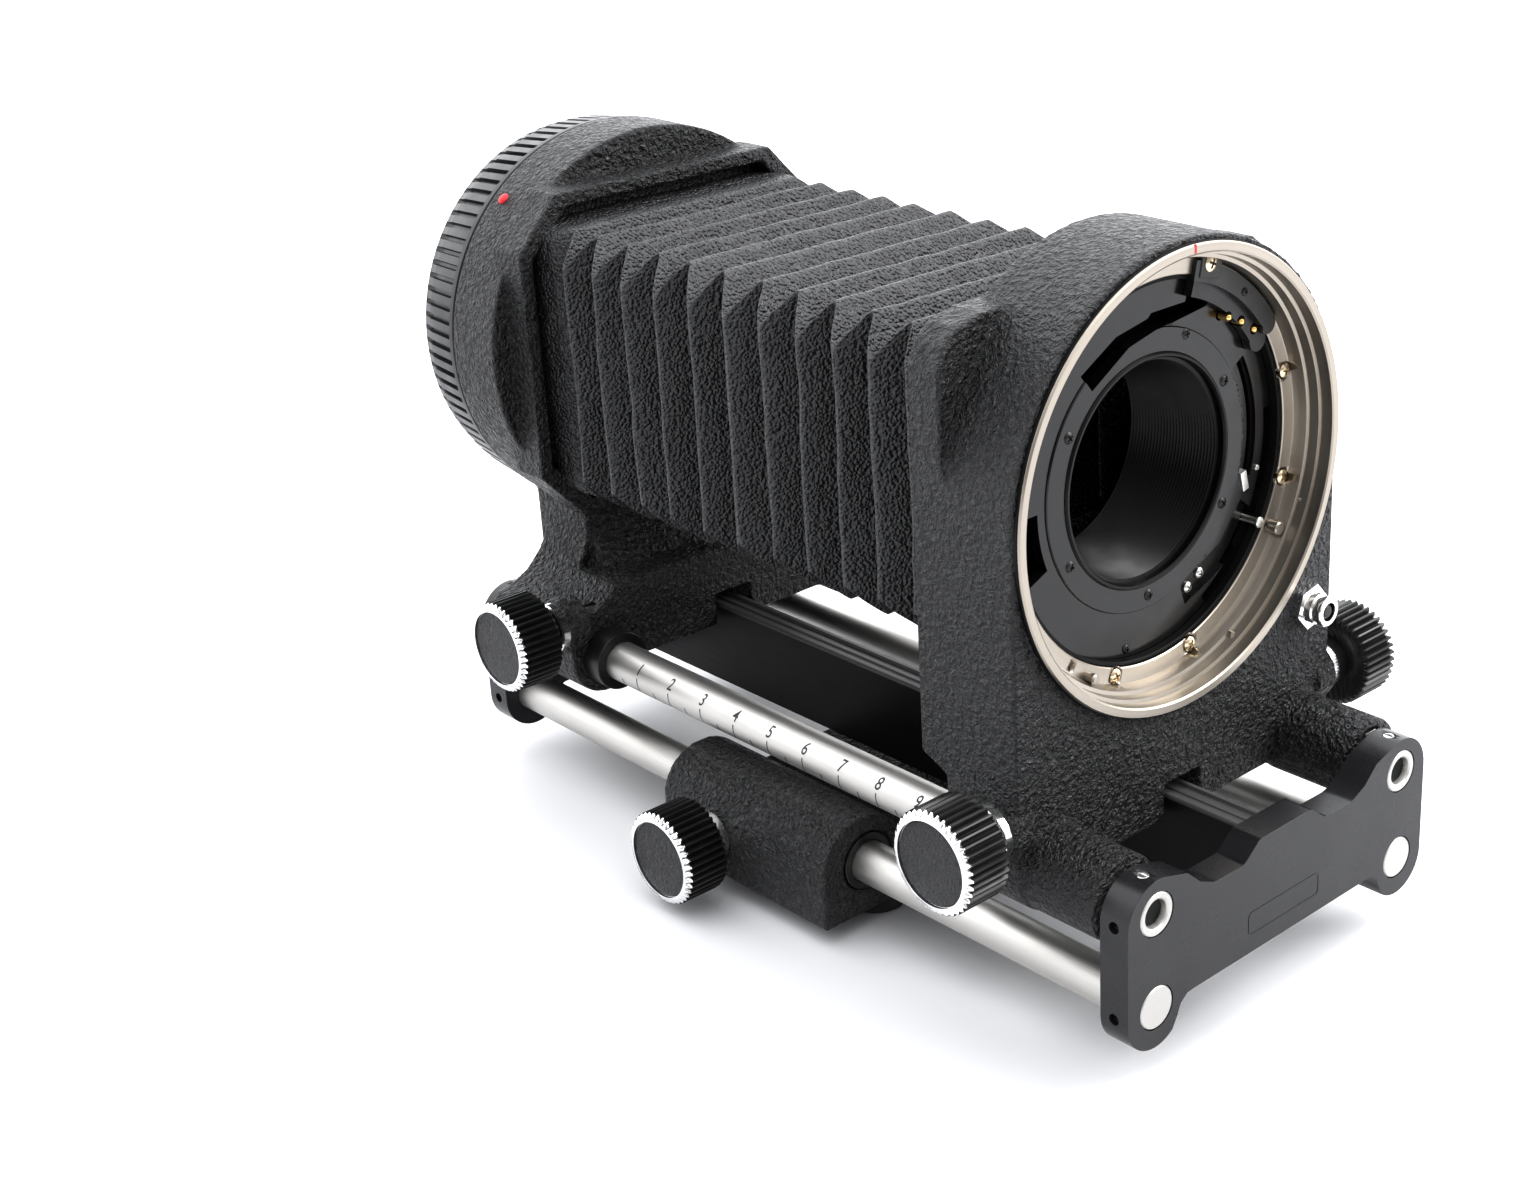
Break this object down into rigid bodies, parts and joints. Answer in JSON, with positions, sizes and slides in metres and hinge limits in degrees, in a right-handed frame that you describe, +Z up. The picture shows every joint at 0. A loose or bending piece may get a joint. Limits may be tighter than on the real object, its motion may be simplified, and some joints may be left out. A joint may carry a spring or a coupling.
{
  "type": "macro bellows unit",
  "caption": "Macro bellows for a reflex camera: two geared standards slide on twin rails, joined by a pleated bellows, with a lens mount, a camera lock ring and a clamping tripod carriage.",
  "frame": {"origin": "middle of the unit's box in plan, on the surface that its feet stand on", "axes": "+Y along the rails from the lens end to the camera end, +Z up, +X to the right seen from the lens end"},
  "size_m": [0.114, 0.1934, 0.1316],
  "materials": {
    "crinkle_black": "fine black crinkle enamel on a die-cast alloy",
    "gloss_black": "black gloss enamel",
    "satin_steel": "satin",
    "nickel": "satin nickel",
    "anodised_black": "satin black anodised",
    "chrome": "polished",
    "gold": "polished",
    "leatherette": "fine grain",
    "rubber": "matt"
  },
  "bodies": {
    "tripod_carriage": {"carriage_block": "crinkle_black", "carriage_bush_front_left": "anodised_black", "carriage_bush_front_right": "anodised_black", "carriage_bush_rear_left": "anodised_black", "carriage_bush_rear_right": "anodised_black", "carriage_knob_washer": "chrome", "tripod_socket": "satin_steel", "foot_front_left": "rubber", "foot_front_right": "rubber", "foot_rear_left": "rubber", "foot_rear_right": "rubber"},
    "carriage_lock": {"carriage_knob": "anodised_black", "carriage_knob_trim": "satin_steel", "carriage_clamp_screw": "satin_steel"},
    "rail_frame": {"front_end_plate": "gloss_black", "rear_end_plate": "gloss_black", "upper_rail_left": "satin_steel", "upper_rail_right": "satin_steel", "lower_rail_left": "satin_steel", "lower_rail_right": "satin_steel", "central_bar": "gloss_black", "drive_rack": "satin_steel", "bellows_front": "leatherette", "bellows_rear": "leatherette"},
    "front_standard": {"front_standard_body": "crinkle_black", "front_bellows_frame": "crinkle_black", "lens_mount_ring": "nickel", "mount_plate": "anodised_black", "throat_tube": "anodised_black", "contact_block": "anodised_black", "cable_release_socket": "chrome", "front_knob_washer_left": "chrome", "front_knob_washer_right": "chrome"},
    "front_drive": {"front_drive_shaft": "satin_steel", "front_knob_left": "anodised_black", "front_knob_right": "anodised_black", "front_knob_trim_left": "satin_steel", "front_knob_trim_right": "satin_steel"},
    "contact_upper": {"contact_pin_upper": "gold"},
    "contact_middle": {"contact_pin_middle": "gold"},
    "contact_lower": {"contact_pin_lower": "gold"},
    "aperture_coupling": {"aperture_lever": "satin_steel"},
    "lens_lock": {"lens_lock_pin": "nickel"},
    "release_button": {"release_plunger": "gloss_black"},
    "rear_standard": {"rear_standard_body": "crinkle_black", "camera_bayonet": "nickel", "rear_rail_bush_left": "anodised_black", "rear_rail_bush_right": "anodised_black", "rear_knob_washer_left": "chrome", "rear_knob_washer_right": "chrome"},
    "rear_drive": {"rear_drive_shaft": "satin_steel", "rear_knob_left": "anodised_black", "rear_knob_right": "anodised_black", "rear_knob_trim_left": "satin_steel", "rear_knob_trim_right": "satin_steel"},
    "camera_lock": {"camera_lock_ring": "anodised_black"}
  },
  "joints": [
    {"name": "carriage_slide", "type": "slide", "parent": "tripod_carriage", "child": "rail_frame", "axis": [0, 1, 0], "range_m": [-0.058, 0.058]},
    {"name": "carriage_lock_turn", "type": "hinge", "parent": "tripod_carriage", "child": "carriage_lock", "pos_m": [-0.057, 0.0055, 0.0115], "axis": [-1, 0, 0], "range_deg": [-20, 180]},
    {"name": "front_slide", "type": "slide", "parent": "rail_frame", "child": "front_standard", "axis": [0, 1, 0], "range_m": [0, 0.035], "deforming": ["bellows_front"]},
    {"name": "front_drive_turn", "type": "hinge", "parent": "front_standard", "child": "front_drive", "pos_m": [0, -0.0692, 0.04], "axis": [1, 0, 0], "range_deg": [-740, 5]},
    {"name": "contact_upper_press", "type": "slide", "parent": "front_standard", "child": "contact_upper", "axis": [0, 1, 0], "range_m": [0, 0.001], "stiffness_N_per_m": 200},
    {"name": "contact_middle_press", "type": "slide", "parent": "front_standard", "child": "contact_middle", "axis": [0, 1, 0], "range_m": [0, 0.001], "stiffness_N_per_m": 200},
    {"name": "contact_lower_press", "type": "slide", "parent": "front_standard", "child": "contact_lower", "axis": [0, 1, 0], "range_m": [0, 0.001], "stiffness_N_per_m": 200},
    {"name": "aperture_turn", "type": "hinge", "parent": "front_standard", "child": "aperture_coupling", "pos_m": [0, -0.0627, 0.0903], "axis": [0, -1, 0], "range_deg": [-27, 30], "stiffness_Nm_per_rad": 0.002},
    {"name": "lens_lock_press", "type": "slide", "parent": "front_standard", "child": "lens_lock", "axis": [0, 1, 0], "range_m": [0, 0.002], "stiffness_N_per_m": 300},
    {"name": "release_press", "type": "slide", "parent": "front_standard", "child": "release_button", "axis": [0, 1, 0], "range_m": [0, 0.003], "stiffness_N_per_m": 200},
    {"name": "rear_slide", "type": "slide", "parent": "rail_frame", "child": "rear_standard", "axis": [0, -1, 0], "range_m": [0, 0.035], "deforming": ["bellows_rear"]},
    {"name": "rear_drive_turn", "type": "hinge", "parent": "rear_standard", "child": "rear_drive", "pos_m": [0, 0.0536, 0.04], "axis": [1, 0, 0], "range_deg": [-5, 740]},
    {"name": "camera_lock_turn", "type": "hinge", "parent": "rear_standard", "child": "camera_lock", "pos_m": [0, 0.0833, 0.0903], "axis": [0, 1, 0], "range_deg": [0, 40]}
  ],
  "couplings": [
    {"joint": "front_drive_turn", "follows": "front_slide", "rad_per_m": -363.64},
    {"joint": "rear_drive_turn", "follows": "rear_slide", "rad_per_m": 363.64}
  ]
}
